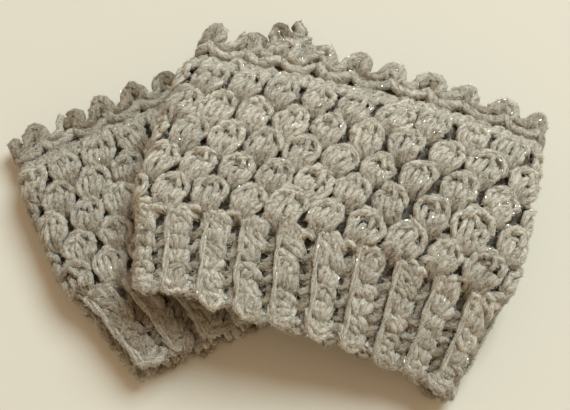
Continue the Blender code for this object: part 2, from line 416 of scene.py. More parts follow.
BACK = CuffLay(
    name="back_cuff",
    centre=(49.6 * MM, 75.3 * MM),
    turn=math.radians(27.1),
    stitch_shift=5.6 * MM,
    bow=-0.8 * MM,
    hem_tilt=-3.0 * MM,
    top_tilt=-1.0 * MM,
    layer_slip=2.0 * MM,
    corner_flare=-5.0 * MM,
    # Painted shade: the back cuff's yarn is darkened, as it lies in the front cuff's shade.
    yarn_tone=-0.55,
)
FRONT = CuffLay(
    name="front_cuff",
    centre=(95.3 * MM, 64.8 * MM),
    turn=math.radians(-11.6),
    stitch_shift=-0.5 * MM,
    bow=-2.6 * MM,
    hem_bow=-1.2 * MM,
    top_tilt=-5.0 * MM,
    lean=7.8 * MM,
    lean_bow=5.4 * MM,
    hem_pulls=(1.8, 2.5, 4.0, 1.5, 1.3, 1.8, 1.0, -0.5, -3.7, -9.0, -12.0),
    hem_tucks=(7.0, 7.0, 7.0, 7.0, 7.0, 7.0, 6.0, 3.0, 0.0, 0.0, 0.0),
    corner_flare=3.5 * MM,
    flare_start=94.0 * MM,
    flare_height=10.0 * MM,
    below=BACK,
)


class Value:
    """An output socket of a shader node, which shader maths is written with."""

    def __init__(self, graph: "Graph", socket: bpy.types.NodeSocket) -> None:
        """Keeps the socket and its graph."""
        self.graph = graph
        self.socket = socket

    def _maths(self, operation: str, *inputs: "Value | float | Point") -> "Value":
        """One step of maths, on numbers or on vectors.

        Args:
            operation: The node's operation.
            inputs: What goes into it.
        Returns:
            Its result.
        """
        vector = any(isinstance(x, tuple) or (isinstance(x, Value) and x.is_vector) for x in inputs)
        kind = "ShaderNodeVectorMath" if vector else "ShaderNodeMath"
        if vector:
            inputs = tuple((x, x, x) if isinstance(x, (int, float)) else x for x in inputs)
        return self.graph.node(kind, {"operation": operation}, dict(enumerate(inputs)))

    @property
    def is_vector(self) -> bool:
        """Whether this is a vector or a colour and not a number."""
        return self.socket.type in ("VECTOR", "RGBA")

    def __add__(self, other: "Value | float | Point") -> "Value":
        """The sum."""
        return self._maths("ADD", self, other)

    __radd__ = __add__

    def __sub__(self, other: "Value | float | Point") -> "Value":
        """The difference."""
        return self._maths("SUBTRACT", self, other)

    def __rsub__(self, other: "float | Point") -> "Value":
        """The difference, with this value second."""
        return self._maths("SUBTRACT", other, self)

    def __mul__(self, other: "Value | float | Point") -> "Value":
        """The product."""
        return self._maths("MULTIPLY", self, other)

    __rmul__ = __mul__

    def step(self, start: float, end: float, low: float = 0.0, high: float = 1.0) -> "Value":
        """A smooth step between two numbers.

        Args:
            start: Where the step starts.
            end: Where it ends.
            low: The result before it.
            high: The result past it.
        Returns:
            The stepped value.
        """
        settings = {"interpolation_type": "SMOOTHSTEP"}
        inputs = {"Value": self, "From Min": start, "From Max": end, "To Min": low, "To Max": high}
        return self.graph.node("ShaderNodeMapRange", settings, inputs)

    def mix(self, low: "Value | Colour", high: "Value | Colour") -> "Value":
        """A colour between two others, with this value as the share of the second.

        Args:
            low: The colour at 0.
            high: The colour at 1.
        Returns:
            The mixed colour.
        """
        colours = [(*c, 1.0) if isinstance(c, tuple) else c for c in (low, high)]
        inputs = {0: self, 6: colours[0], 7: colours[1]}
        return self.graph.node("ShaderNodeMix", {"data_type": "RGBA"}, inputs, output=2)


class Graph:
    """The node tree of one material."""

    def __init__(self, name: str) -> None:
        """Makes an empty material."""
        self.material = bpy.data.materials.new(name)
        self.material.use_nodes = True
        self.tree = self.material.node_tree
        self.tree.nodes.clear()

    def node(
        self,
        kind: str,
        settings: dict | None = None,
        inputs: dict | None = None,
        output: int | str = 0,
    ) -> Value:
        """Adds a node.

        Args:
            kind: The node's type.
            settings: Its properties.
            inputs: Its inputs, by name or number, as values or constants.
            output: Which of its outputs to return.
        Returns:
            That output.
        """
        node = self.tree.nodes.new(kind)
        for key, value in (settings or {}).items():
            setattr(node, key, value)
        for key, value in (inputs or {}).items():
            if isinstance(value, Value):
                self.tree.links.new(value.socket, node.inputs[key])
            else:
                node.inputs[key].default_value = value
        return Value(self, node.outputs[output])

    def attribute(self, name: str, output: str) -> Value:
        """A named attribute of the mesh, as its Vector or Fac."""
        return self.node("ShaderNodeAttribute", {"attribute_name": name}, output=output)

    def noise(self, where: Value, scale: float, detail: float = 2.0) -> Value:
        """Cloudy noise from 0 to 1."""
        return self.node("ShaderNodeTexNoise", None, {"Vector": where, "Scale": scale, "Detail": detail})

    def bump(self, height: Value, distance: float, strength: float) -> Value:
        """A relief as high as the distance says."""
        inputs = {"Strength": strength, "Distance": distance, "Height": height}
        return self.node("ShaderNodeBump", None, inputs)

    def finish(self, inputs: dict) -> bpy.types.Material:
        """Joins a surface to the material's output.

        Args:
            inputs: The surface's inputs, by name.
        Returns:
            The finished material.
        """
        shader = self.node("ShaderNodeBsdfPrincipled", None, inputs)
        end = self.tree.nodes.new("ShaderNodeOutputMaterial")
        self.tree.links.new(shader.socket, end.inputs["Surface"])
        return self.material


@dataclass(frozen=True)
class Finish:
    """What the surface of a piece is like."""

    def inputs(self, g: Graph) -> dict:
        """The surface's inputs, by name."""
        raise NotImplementedError

    def material(self, name: str) -> bpy.types.Material:
        """The finish as a material of that name."""
        g = Graph(name)
        return g.finish(self.inputs(g))


@dataclass(frozen=True)
class YarnFinish(Finish):
    """Heathered wool yarn: light and dark fibres that wander along three twisted plies.

    Args:
        light: The palest fibres.
        middle: Most of the fibres.
        dark: The darkest fibres.
        deep: What the strands that lie deep are tinted with, through a tone below 0: painted warm shade.
        ply_shade: How much darker the yarn is between two plies.
        tone_range: How far light and dark strands are apart.
        tone_shift: How far apart in the noise the fibres of light and dark strands are taken.
        wander_size: How quickly the fibres wander, across the yarn and along it.
        wander: How far they wander.
        streak_size: How narrow and long the streaks of fibres are, and streak_edges where they start.
        fine_size: How narrow and long the single fibres are, and fine_edges where they start.
        relief: How high the plies and fibres stand.
    """

    light: Colour = (0.85, 0.81, 0.70)
    middle: Colour = (0.64, 0.60, 0.505)
    dark: Colour = (0.28, 0.25, 0.19)
    deep: Colour = (0.80, 0.69, 0.55)
    roughness: float = 0.85
    sheen: float = 0.3
    ply_shade: float = 0.30
    tone_range: float = 0.30
    tone_shift: float = 53.0
    wander_size: Point = (0.9, 0.9, 0.5)
    wander: Point = (1.1, 1.1, 2.0)
    streak_size: Point = (1.7, 1.7, 0.50)
    streak_edges: tuple[float, float] = (0.30, 0.60)
    fine_size: Point = (4.0, 4.0, 1.1)
    fine_edges: tuple[float, float] = (0.41, 0.73)
    relief: float = 0.28 * MM

    def inputs(self, g: Graph) -> dict:
        """The yarn's inputs.

        Args:
            g: The graph that gets the nodes.
        Returns:
            The surface's inputs, by name.
        """
        fibre = g.attribute("fibre", "Vector")
        tone = g.attribute("tone", "Fac")
        offset = tone * self.tone_shift
        bends = {"Vector": fibre * self.wander_size + offset, "Scale": 1.0, "Detail": 2.0}
        wander = g.node("ShaderNodeTexNoise", None, bends, output="Color") - 0.5
        fibre = fibre + wander * self.wander
        streak = g.noise(fibre * self.streak_size + offset, 1.0, 3.0)
        fine = g.noise(fibre * self.fine_size + offset, 1.0, 2.0)
        across = g.node("ShaderNodeSeparateXYZ", None, {0: fibre})
        # The cosine of three times the angle round the yarn, from its cosine: one crest for each ply.
        ply = across * across * across * 4.0 - across * 3.0
        colour = streak.step(*self.streak_edges).mix(self.dark, self.middle)
        colour = fine.step(*self.fine_edges).mix(colour, self.light)
        shade = ply.step(-1.1, -0.3, 1.0 - self.ply_shade, 1.0)
        shade = shade * (tone * self.tone_range + (1.0 - self.tone_range / 2))
        # Painted shade: a tone below 0 tints the strand warm brown, on top of darkening it.
        deep = tone.step(-1.2, 0.0).mix(self.deep, (1.0, 1.0, 1.0))
        height = ply.step(-1.2, 0.8) * 0.5 + streak * 0.7 + fine * 0.7
        return {
            "Base Color": colour * shade * deep,
            "Roughness": self.roughness,
            "Normal": g.bump(height, self.relief, 1.0),
            "Sheen Weight": self.sheen,
            "Sheen Roughness": 0.5,
            "Specular IOR Level": 0.2,
        }


@dataclass(frozen=True)
class FibreFinish(Finish):
    """Single loose fibres, from dark to light."""

    light: Colour = (0.80, 0.76, 0.66)
    dark: Colour = (0.42, 0.385, 0.315)
    roughness: float = 0.9

    def inputs(self, g: Graph) -> dict:
        """The fibres' inputs."""
        colour = g.attribute("tone", "Fac").mix(self.dark, self.light)
        return {"Base Color": colour, "Roughness": self.roughness, "Specular IOR Level": 0.2}


@dataclass(frozen=True)
class ShadeFinish(Finish):
    """The cloth deep between the stitches, in the shade of the strands over it, coloured far darker than
    the yarn as painted shade.
    """

    light: Colour = (0.17, 0.145, 0.11)
    dark: Colour = (0.07, 0.058, 0.043)
    roughness: float = 0.95
    patches: float = 700.0
    relief: float = 0.5 * MM

    def inputs(self, g: Graph) -> dict:
        """The deep cloth's inputs.

        Args:
            g: The graph that gets the nodes.
        Returns:
            The surface's inputs, by name.
        """
        patch = g.noise(g.node("ShaderNodeTexCoord", output="Object"), self.patches, 3.0)
        colour = patch.step(0.4, 0.62).mix(self.dark, self.light)
        bump = g.bump(patch, self.relief, 0.8)
        return {"Base Color": colour, "Roughness": self.roughness, "Normal": bump}


@dataclass(frozen=True)
class PlainFinish(Finish):
    """A finish that is the same all over."""

    colour: Colour
    roughness: float
    metallic: float = 0.0

    def inputs(self, g: Graph) -> dict:
        """The plain finish's inputs."""
        return {"Base Color": (*self.colour, 1.0), "Roughness": self.roughness, "Metallic": self.metallic}


@dataclass(frozen=True)
class Strand:
    """One strand of yarn in a stitch.

    Args:
        points: Control points, each in stitches across, mm up and mm below the crests.
        radius: Half the strand's thickness in mm.
        ends: The thickness at the first and last point, as shares.
        tone: What is added to its tone, less than 0 for a darker strand.
    """

    points: tuple[Point, ...]
    radius: float = 1.15
    ends: tuple[float, float] = (0.8, 0.8)
    tone: float = 0.0

    def sampled(self, controls: Array) -> Array:
        """A smooth curve through control points.

        Args:
            controls: Control points of many copies, as copies x points x 3.
        Returns:
            The curves' points, as copies x samples x 3.
        """
        before = 2 * controls[:, :1] - controls[:, 1:2]
        after = 2 * controls[:, -1:] - controls[:, -2:-1]
        p = np.concatenate([before, controls, after], 1)
        p0, p1, p2, p3 = p[:, :-3, None], p[:, 1:-2, None], p[:, 2:-1, None], p[:, 3:, None]
        t = (np.arange(CURVE_PIECES) / CURVE_PIECES)[None, None, :, None]
        bend = 2 * p0 - 5 * p1 + 4 * p2 - p3 + t * (3 * (p1 - p2) + p3 - p0)
        curve = p1 + 0.5 * t * (p2 - p0 + t * bend)
        return np.concatenate([curve.reshape(len(controls), -1, 3), controls[:, -1:]], 1)

    def radii(self, samples: int) -> Array:
        """The strand's thickness along it.

        Args:
            samples: How many points it has.
        Returns:
            Half its thickness at each, in metres.
        """
        along = np.linspace(0, 1, samples)
        first = self.ends[0] + (1 - self.ends[0]) * ease(along / TAPER_SHARE)
        last = self.ends[1] + (1 - self.ends[1]) * ease((1 - along) / TAPER_SHARE)
        return self.radius * MM * first * last


def strands(*curves: tuple[Point, ...], radius: float, tone: float = 0.0) -> list[Strand]:
    """Strands of one thickness and tone along these curves."""
    return [Strand(points, radius=radius, tone=tone) for points in curves]


@dataclass(frozen=True)
class Spinner:
    """Turns curves into round, lumpy strands of twisted yarn.

    Args:
        sides: How many points a ring has.
        lumps: How lumpy a strand is, as a standard deviation.
        thickness_spread: How unevenly thick strands are, as a standard deviation.
        largest: The most that a lump or a strand differs.
        twist_lengths: The shortest and the longest length of one turn of the plies.
    """

    sides: int = 6
    lumps: float = 0.13
    thickness_spread: float = 0.10
    largest: float = 0.2
    twist_lengths: tuple[float, float] = (15.0 * MM, 32.0 * MM)

    def rings(self, paths: Array, radii: Array, rng: np.random.Generator) -> tuple[Array, Array, Array]:
        """Rings of points around curves.

        Args:
            paths: The curves, as strands x samples x 3.
            radii: Half the thickness at each sample.
            rng: Sets where each strand's twist starts, its lumps and its thickness.
        Returns:
            The rings' points, for each its place on the twisted fibre, and the curves' directions.
        """
        tangent = unit(np.gradient(paths, axis=1))
        steep = np.abs(tangent[:, 0, 2:3]) > 0.9
        across = np.where(steep, np.array([1.0, 0, 0]), np.array([0, 0, 1.0]))
        normal = unit(np.cross(tangent[:, 0], across))
        normals = [normal]
        for k in range(1, paths.shape[1]):
            t = tangent[:, k]
            normal = unit(normal - t * (normal * t).sum(-1, keepdims=True))
            normals.append(normal)
        normals = np.stack(normals, 1)
        binormals = np.cross(tangent, normals)
        steps = np.linalg.norm(np.diff(paths, axis=1), axis=-1)
        along = np.concatenate([np.zeros((len(paths), 1)), np.cumsum(steps, 1)], 1)
        angle = 2 * np.pi * np.arange(self.sides) / self.sides
        twist = rng.uniform(*self.twist_lengths, (len(paths), 1))
        turn = 2 * np.pi * along / twist + rng.uniform(0, 2 * np.pi, (len(paths), 1))
        fibre_angle = angle - turn[..., None]
        thick = rng.normal(0, self.thickness_spread, (len(paths), 1, 1))
        thickness = 1 + np.clip(thick, -self.largest, self.largest)
        uneven = np.clip(rng.normal(0, self.lumps, fibre_angle.shape), -self.largest, self.largest)
        radius = radii[..., None] * (thickness + uneven)
        cos, sin = np.cos(angle)[:, None], np.sin(angle)[:, None]
        out = cos * normals[:, :, None] + sin * binormals[:, :, None]
        points = paths[:, :, None] + radius[..., None] * out
        length = np.broadcast_to(along[..., None] / MM, fibre_angle.shape)
        return points, np.stack([np.cos(fibre_angle), np.sin(fibre_angle), length], -1), tangent


@dataclass
class YarnMesh:
    """Many strands gathered into one mesh.

    Args:
        spinner: What makes the strands round.
        rng: The source of the strands' uneven tones.
        fuzzy_tone: Strands with a lower tone carry no loose fibres.
        fuzzy_side: How far out of the cloth a spot faces where a fibre starts.
    """

    spinner: Spinner
    rng: np.random.Generator
    points: list = field(default_factory=list)
    fibres: list = field(default_factory=list)
    tones: list = field(default_factory=list)
    quads: list = field(default_factory=list)
    caps: list = field(default_factory=list)
    roots: list = field(default_factory=list)
    count: int = 0
    fuzzy_tone: float = -0.95
    fuzzy_side: float = 0.1

    def add(self, paths: Array, radii: Array, outwards: Array, tones: Array | None = None) -> None:
        """Adds strands that have the same number of samples.

        Args:
            paths: The curves, as strands x samples x 3.
            radii: Half the thickness along a strand, or for each strand.
            outwards: The direction out of the cloth at each sample.
            tones: Each strand's tone from 0 to 1, or None for random ones.
        """
        number, samples = paths.shape[:2]
        radii = np.broadcast_to(radii, (number, samples))
        points, fibres, along = self.spinner.rings(paths, radii, self.rng)
        if tones is None:
            tones = self.rng.uniform(0, 1, number)
        sides = self.spinner.sides
        index = self.count + np.arange(number * samples * sides).reshape(number, samples, sides)
        beside = np.roll(index, -1, 2)
        quads = np.stack([index[:, :-1], beside[:, :-1], beside[:, 1:], index[:, 1:]], -1)
        self.quads.append(quads.reshape(-1, 4))
        self.caps.append(np.concatenate([index[:, 0, ::-1], index[:, -1]]))
        aside = unit(points - paths[:, :, None])
        along, outwards = (np.broadcast_to(way[:, :, None], points.shape) for way in (along, outwards))
        roots = np.stack([points, aside, along, outwards], -2).reshape(-1, 4, 3)
        fuzzy = np.repeat(tones > self.fuzzy_tone, samples * sides)
        self.roots.append(roots[fuzzy & ((roots[:, 1] * roots[:, 3]).sum(-1) > self.fuzzy_side)])
        self.points.append(points.reshape(-1, 3))
        self.fibres.append(fibres.reshape(-1, 3))
        self.tones.append(np.repeat(tones, samples * sides))
        self.count += number * samples * sides

    def build(self, name: str, material: bpy.types.Material) -> bpy.types.Object:
        """Makes the mesh.

        Args:
            name: The piece's name.
            material: Its material.
        Returns:
            The piece.
        """
        faces = [np.concatenate(self.quads), np.concatenate(self.caps)]
        piece = mesh_piece(name, np.concatenate(self.points), faces, material)
        fibre = piece.data.attributes.new("fibre", "FLOAT_VECTOR", "POINT")
        fibre.data.foreach_set("vector", np.concatenate(self.fibres).astype(np.float32).ravel())
        set_tones(piece, np.concatenate(self.tones))
        return piece


def mesh_piece(
    name: str, points: Array, face_groups: list[Array], material: bpy.types.Material
) -> bpy.types.Object:
    """A smooth mesh object.

    Args:
        name: Its name.
        points: Its vertices.
        face_groups: Arrays of faces, one for each number of corners.
        material: What it is made of.
    Returns:
        The object, linked to the scene.
    """
    mesh = bpy.data.meshes.new(name)
    mesh.vertices.add(len(points))
    mesh.vertices.foreach_set("co", points.astype(np.float32).ravel())
    corners = np.concatenate([group.ravel() for group in face_groups])
    sizes = np.concatenate([np.full(len(group), group.shape[1]) for group in face_groups])
    mesh.loops.add(len(corners))
    mesh.loops.foreach_set("vertex_index", corners.astype(np.int32))
    mesh.polygons.add(len(sizes))
    mesh.polygons.foreach_set("loop_start", (np.cumsum(sizes) - sizes).astype(np.int32))
    mesh.polygons.foreach_set("use_smooth", np.ones(len(sizes), bool))
    mesh.update(calc_edges=True)
    mesh.validate()
    mesh.materials.append(material)
    piece = bpy.data.objects.new(name, mesh)
    bpy.context.scene.collection.objects.link(piece)
    return piece


def set_tones(piece: bpy.types.Object, tones: Array) -> None:
    """Stores a tone at each point of a mesh."""
    store = piece.data.attributes.new("tone", "FLOAT", "POINT")
    store.data.foreach_set("value", tones.astype(np.float32))


@dataclass(frozen=True)
class Fibres:
    """Thin flat fibres that start on the yarn and run loosely over it.

    Args:
        density: How many there are for each square millimetre of cloth.
        lengths: The shortest and the longest.
        width: How wide one is at its root.
        spread: How far they turn from the strand's own direction, in radians.
        lift: How much the highest ones rise for their length.
        floor_gap: How close they come to the floor.
        tilt: How much their flat side is tilted, as a standard deviation.
    """

    density: float = 5.3
    lengths: tuple[float, float] = (0.5 * MM, 2.0 * MM)
    width: float = 0.17 * MM
    spread: float = 0.8
    lift: float = 0.9
    floor_gap: float = 0.1 * MM
    tilt: float = 0.3

    def build(
        self, name: str, mesh: YarnMesh, area: float, material: bpy.types.Material
    ) -> bpy.types.Object:
        """Makes the fibres of one piece.

        Args:
            name: Their name.
            mesh: The yarn that they start on.
            area: The cloth's area in square metres.
            material: Their material.
        Returns:
            The fibres, as one piece.
        """
        rng = mesh.rng
        roots = np.concatenate(mesh.roots)
        number = round(self.density * area / MM**2)
        root, aside, along, outwards = np.moveaxis(roots[rng.integers(0, len(roots), number)], 1, 0)
        angle = rng.normal(0, self.spread, (number, 1)) + np.pi * rng.integers(0, 2, (number, 1))
        lift = self.lift * rng.uniform(0, 1, (number, 1)) ** 2
        way = unit(np.cos(angle) * along + np.sin(angle) * np.cross(aside, along) + lift * aside)
        tip = root + way * rng.uniform(*self.lengths, (number, 1))
        face = outwards + rng.normal(0, self.tilt, (number, 3))
        width = unit(np.cross(way, face)) * self.width / 2
        points = np.stack([root - width, root + width, tip], 1)
        points[..., 2] = np.maximum(points[..., 2], self.floor_gap)
        faces = [np.arange(3 * number).reshape(-1, 3)]
        piece = mesh_piece(name, points.reshape(-1, 3), faces, material)
        set_tones(piece, np.repeat(rng.uniform(0, 1, number), 3))
        return piece


@dataclass(frozen=True)
class Unevenness:
    """How far hand-made stitches stray from the grid, as standard deviations.

    Args:
        across: How far a control point strays to a side, in stitches.
        up: How far it strays up or down, in mm.
        depth: How far it strays in depth, in mm.
        turn: How far a stitch is turned.
        size: How much larger or smaller it is, as a share.
        shift_across: How far it stands to a side, in stitches.
        shift_up: How far it stands up or down, in mm.
        stitch_tones: The lowest and the highest tone of a stitch.
        strand_tones: The least and the most that a strand's tone differs from its stitch's.
    """

    across: float = 0.012
    up: float = 0.18
    depth: float = 0.14
    turn: float = math.radians(4.0)
    size: float = 0.04
    shift_across: float = 0.012
    shift_up: float = 0.25
    stitch_tones: tuple[float, float] = (0.15, 0.85)
    strand_tones: tuple[float, float] = (-0.25, 0.25)


def work_stitches(
    mesh: YarnMesh,
    lay: CuffLay,
    pattern: list[Strand],
    at: Array,
    uneven: Unevenness,
    centre: tuple[float, float] = (0.0, 0.0),
    slanted: bool = False,
) -> None:
    """Repeats a stitch over the grid and lays its strands over the cuff.

    Args:
        mesh: The mesh that gets the strands.
        lay: The cuff.
        pattern: The stitch's strands.
        at: Each copy's stitch number and height in metres, as copies x 2.
        uneven: How much the copies differ.
        centre: The point that copies are turned about, in stitches and mm.
        slanted: Whether the stitches follow the slant of the ribs.
    """
    rng = mesh.rng
    number = len(at)
    angle = rng.normal(0, uneven.turn, (number, 1))
    size = 1 + rng.normal(0, uneven.size, (number, 1))
    shift_across = rng.normal(0, uneven.shift_across, (number, 1))
    shift_up = rng.normal(0, uneven.shift_up, (number, 1))
    width = GRID.stitch_width / MM
    stitch_tone = rng.uniform(*uneven.stitch_tones, number)
    for strand in pattern:
        controls = np.broadcast_to(np.array(strand.points), (number, len(strand.points), 3)).copy()
        stray = rng.normal(0, 1, controls.shape) * (uneven.across, uneven.up, uneven.depth)
        controls = strand.sampled(controls + stray)
        across = (controls[..., 0] - centre[0]) * width * size
        up = (controls[..., 1] - centre[1]) * size
        turned_across = np.cos(angle) * across - np.sin(angle) * up
        turned_up = np.sin(angle) * across + np.cos(angle) * up
        stitch = at[:, :1] + centre[0] + turned_across / width + shift_across
        height = at[:, 1:] + (centre[1] + turned_up + shift_up) * MM
        if slanted:
            stitch = stitch + GRID.rib_phase(height)
        depth = np.maximum(controls[..., 2], strand.radius * LEAST_DEPTH_SHARE) * MM
        paths = lay.place(stitch, height, depth)
        tones = np.clip(stitch_tone + rng.uniform(*uneven.strand_tones, number), 0, 1)
        tones = tones + strand.tone + lay.yarn_tone
        mesh.add(paths, strand.radii(paths.shape[1]), lay.outwards(stitch, height, depth), tones)


def grid_places(stitches: Array, heights: Array) -> Array:
    """Every pair of a stitch and a height.

    Args:
        stitches: Stitch numbers.
        heights: Heights in metres.
    Returns:
        The pairs, as pairs x 2.
    """
    across, up = np.meshgrid(stitches, heights)
    return np.stack([across.ravel(), up.ravel()], -1)


@dataclass(frozen=True)
class Materials:
    """The materials that all pieces share."""

    yarn: bpy.types.Material
    fibre: bpy.types.Material
    silver: bpy.types.Material
    ground: bpy.types.Material


@dataclass
class CuffPiece:
    """One piece of a cuff: a thin ground cloth with strands of yarn over it.

    Args:
        lay: How the cuff lies.
        materials: What its yarn, loose fibres, silver thread and ground are made of.
        seed: Starts the random numbers.
        section: Which piece it is.
        flat: The cloth's flat size, round the tube and up it.
        bottom: Height of the ground's lower edge.
        top: Height of the ground's upper edge, where it doesn't rise into picots.
        ground_depth: How deep the ground lies below the stitches' crests.
        ground_columns: How many faces it has round the tube.
        ground_rings: How many rings of points it has outside.
        wave: How high strands that run round wave up and down, in mm.
        wave_pace: How quickly they wave, in radians a stitch.
        spinner: What makes the strands.
        fuzz: The loose fibres.
        silver: The pieces of silver thread.
    """

    lay: CuffLay
    materials: Materials
    seed: int
    section: Section = Section.CLUSTER_BODY
    flat: tuple[float, float] = (GRID.round, GRID.body_height)
    bottom: float = GRID.band_height + GRID.seam_gap / 2
    top: float = GRID.edging_start - GRID.seam_gap / 2
    ground_depth: float = 5.3 * MM
    ground_columns: int = 80
    ground_rings: int = 9
    wave: float = 0.35
    wave_pace: float = 5.1
    spinner: Spinner = Spinner()
    fuzz: Fibres = Fibres()
    silver: Fibres = Fibres(0.15, (0.5 * MM, 1.3 * MM), 0.20 * MM, 0.2, 0.15)

    @property
    def node(self) -> str:
        """The CAD node that this piece replaces."""
        return f"{self.lay.name}_{self.section.value}"

    def upper_edge(self, stitch: Array) -> Array:
        """Height of the ground's upper edge."""
        return np.full(stitch.shape, self.top)

    def work(self, mesh: YarnMesh) -> None:
        """Adds the piece's strands.

        Args:
            mesh: The mesh that gets them.
        """
        raise NotImplementedError

    def build_ground(self) -> bpy.types.Object:
        """Makes the closed, thin wall under the strands.

        Returns:
            The ground's object.
        """
        stitch = np.arange(self.ground_columns) * GRID.stitches / self.ground_columns
        shares = np.linspace(0, 1, self.ground_rings)[:, None]
        heights = self.bottom + (self.upper_edge(stitch) - self.bottom) * shares
        stitches = np.broadcast_to(stitch, heights.shape)
        outside = self.lay.place(stitches, heights, np.full(heights.shape, self.ground_depth))
        inside = self.lay.place(stitches, heights)[::-1]
        rings = np.concatenate([outside, inside])
        index = np.arange(rings.shape[0] * rings.shape[1]).reshape(rings.shape[:2])
        above, beside = np.roll(index, -1, 0), np.roll(index, -1, 1)
        quads = np.stack([index, beside, np.roll(beside, -1, 0), above], -1).reshape(-1, 4)
        return mesh_piece(f"{self.node}_ground", rings.reshape(-1, 3), [quads], self.materials.ground)

    def strand_around(self, mesh: YarnMesh, height: float, depth: float, radius: float = 1.3) -> None:
        """Adds a deep strand that runs all the way round the tube.

        Args:
            mesh: The mesh that gets it.
            height: Its height above the hem, in mm.
            depth: Its depth below the crests, in mm.
            radius: Half its thickness, in mm.
        """
        stitch = np.linspace(0, GRID.stitches, 6 * GRID.stitches + 1)[None]
        heights = (height + self.wave * np.sin(stitch * self.wave_pace)) * MM
        depths = np.full(stitch.shape, depth * MM)
        paths = self.lay.place(stitch, heights, depths)
        mesh.add(paths, radius * MM, self.lay.outwards(stitch, heights, depths), np.array([0.3]))

    def build(self) -> None:
        ground = self.build_ground()
        mesh = YarnMesh(self.spinner, np.random.default_rng(self.seed))
        self.work(mesh)
        area = self.flat[0] * self.flat[1]
        over = [
            mesh.build(f"{self.node}_strands", self.materials.yarn),
            self.fuzz.build(f"{self.node}_fuzz", mesh, area, self.materials.fibre),
            self.silver.build(f"{self.node}_silver_thread", mesh, area, self.materials.silver),
        ]
        for piece in (ground, *over):
            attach(piece, BODY)
            self.section.slot
        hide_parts(self.node)
        triangles = [sum(len(p.vertices) - 2 for p in piece.data.polygons) for piece in over]
        LOG.info("%s: triangles of strands, fuzz and silver thread %s", self.node, triangles)


